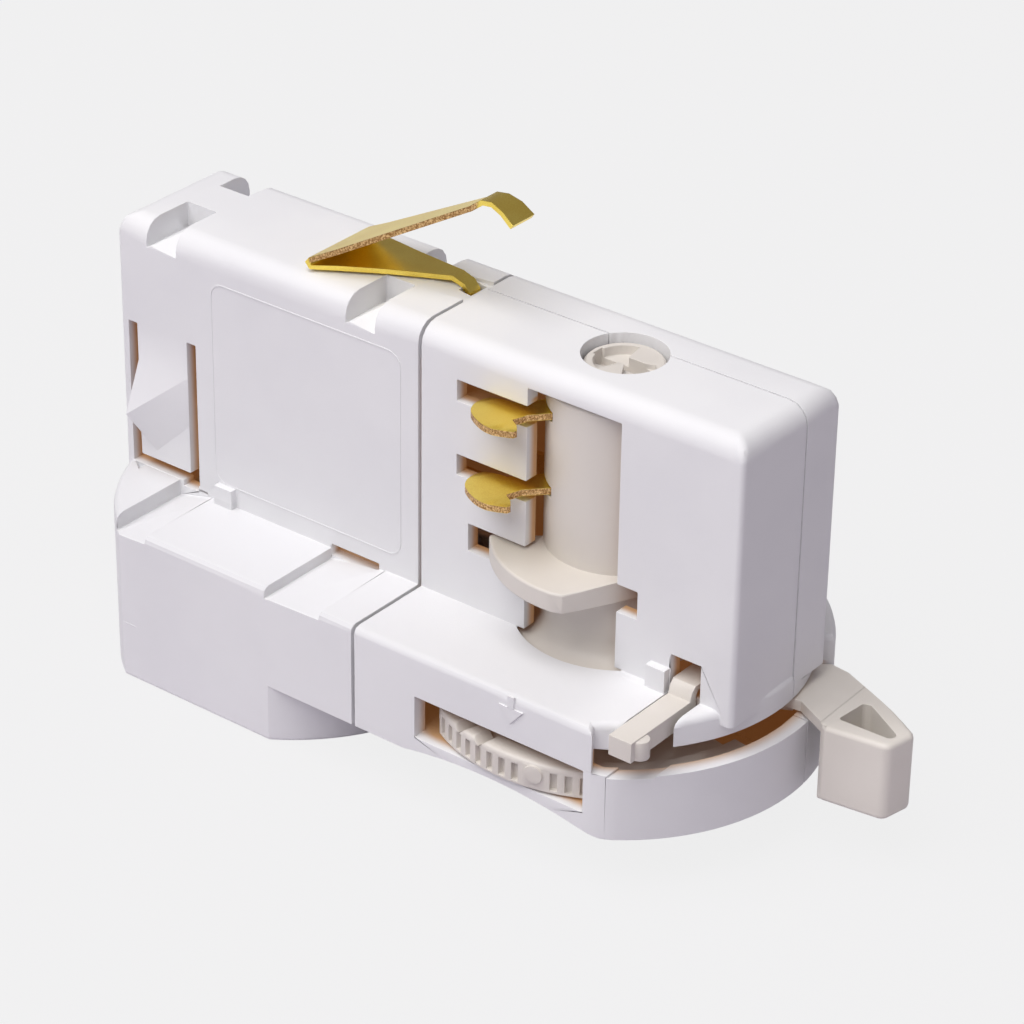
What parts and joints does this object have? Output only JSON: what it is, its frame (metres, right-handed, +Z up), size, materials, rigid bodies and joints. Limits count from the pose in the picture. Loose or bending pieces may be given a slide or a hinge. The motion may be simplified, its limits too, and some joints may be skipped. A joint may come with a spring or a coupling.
{
  "type": "track light adapter",
  "caption": "Adapter that locks a spotlight into a three-circuit lighting track: turning lever and drum with contact blades, selector dial, interlock bar and earth spring.",
  "frame": {"origin": "middle of the stem hole on the underside of the boss", "axes": "+Z up into the track, +X along the adapter towards the lock lever, -Y to the side with the selector dial"},
  "size_m": [0.0918, 0.0372, 0.0589],
  "materials": {
    "housing_white": "cool white moulded plastic, fine spark-eroded texture",
    "cream_plastic": "warm white moulded plastic, satin",
    "insulator": "plain moulded plastic",
    "contact_gold": "gold-coloured plated copper alloy, polished",
    "brass": "plain brass",
    "steel": "zinc-plated steel"
  },
  "bodies": {
    "housing": {"end_housing": "housing_white", "front_shell": "housing_white", "back_shell": "housing_white", "selector_detent": "steel", "interlock_spring": "steel", "earth_spring": "contact_gold", "stem_nut": "steel", "terminal_carrier": "insulator", "terminal_line": "brass", "terminal_neutral": "brass", "terminal_earth": "brass", "terminal_screw_line": "steel", "terminal_screw_neutral": "steel", "terminal_screw_earth": "steel", "conductor_line": "brass", "conductor_neutral": "brass", "case_screw_left": "steel", "case_screw_right": "steel"},
    "lock": {"lock_drum": "cream_plastic", "lock_lever": "cream_plastic", "contact_front_upper": "contact_gold", "contact_front_lower": "contact_gold", "contact_back_upper": "contact_gold", "contact_back_lower": "contact_gold"},
    "selector": {"selector_dial": "cream_plastic"},
    "interlock": {"interlock_bar": "cream_plastic"}
  },
  "joints": [
    {"name": "lock_turn", "type": "hinge", "parent": "housing", "child": "lock", "pos_m": [0.0397, 0, 0.0181], "axis": [0, 0, 1], "range_deg": [-64, 0]},
    {"name": "selector_turn", "type": "hinge", "parent": "housing", "child": "selector", "pos_m": [0.0397, 0, 0.0103], "axis": [0, 0, 1], "range_deg": [-52, 0]},
    {"name": "interlock_press", "type": "slide", "parent": "housing", "child": "interlock", "axis": [0, 0, -1], "range_m": [0, 0.0006], "stiffness_N_per_m": 200, "deforming": ["interlock_spring"]}
  ]
}
